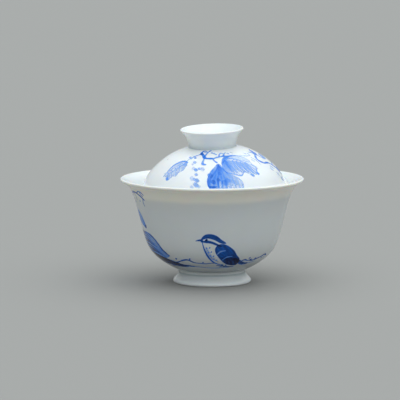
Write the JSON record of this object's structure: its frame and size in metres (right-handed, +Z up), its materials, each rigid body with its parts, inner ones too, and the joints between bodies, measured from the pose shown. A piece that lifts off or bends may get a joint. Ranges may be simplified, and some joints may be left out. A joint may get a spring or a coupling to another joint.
{
  "type": "gaiwan",
  "caption": "Lidded porcelain tea bowl with a flared rim, a turned foot ring and a domed lid that rests askew in the mouth and lifts off by a hollow ring knob.",
  "frame": {"origin": "centre of the foot ring on the table, at the bottom centre of the whole piece", "axes": "+Z up along the bowl's turning axis; -Y is the side with the painted bird; +X is to the right of a viewer who faces that side"},
  "size_m": [0.0998, 0.0998, 0.0849],
  "materials": {
    "glazed_bowl": "clear glossy glaze over white porcelain, painted in underglaze blue",
    "glazed_foot": "clear glossy glaze, bare on the standing edge",
    "glazed_lid": "clear glossy glaze over white porcelain, painted in underglaze blue"
  },
  "bodies": {
    "bowl": {"tea_bowl": "glazed_bowl", "foot_ring": "glazed_foot"},
    "lid": {"lid_dome": "glazed_lid", "lid_knob": "glazed_lid"}
  },
  "joints": [
    {"name": "lid_lift", "type": "slide", "parent": "bowl", "child": "lid", "axis": [0, 0, 1], "range_m": [0, 0.045]}
  ]
}
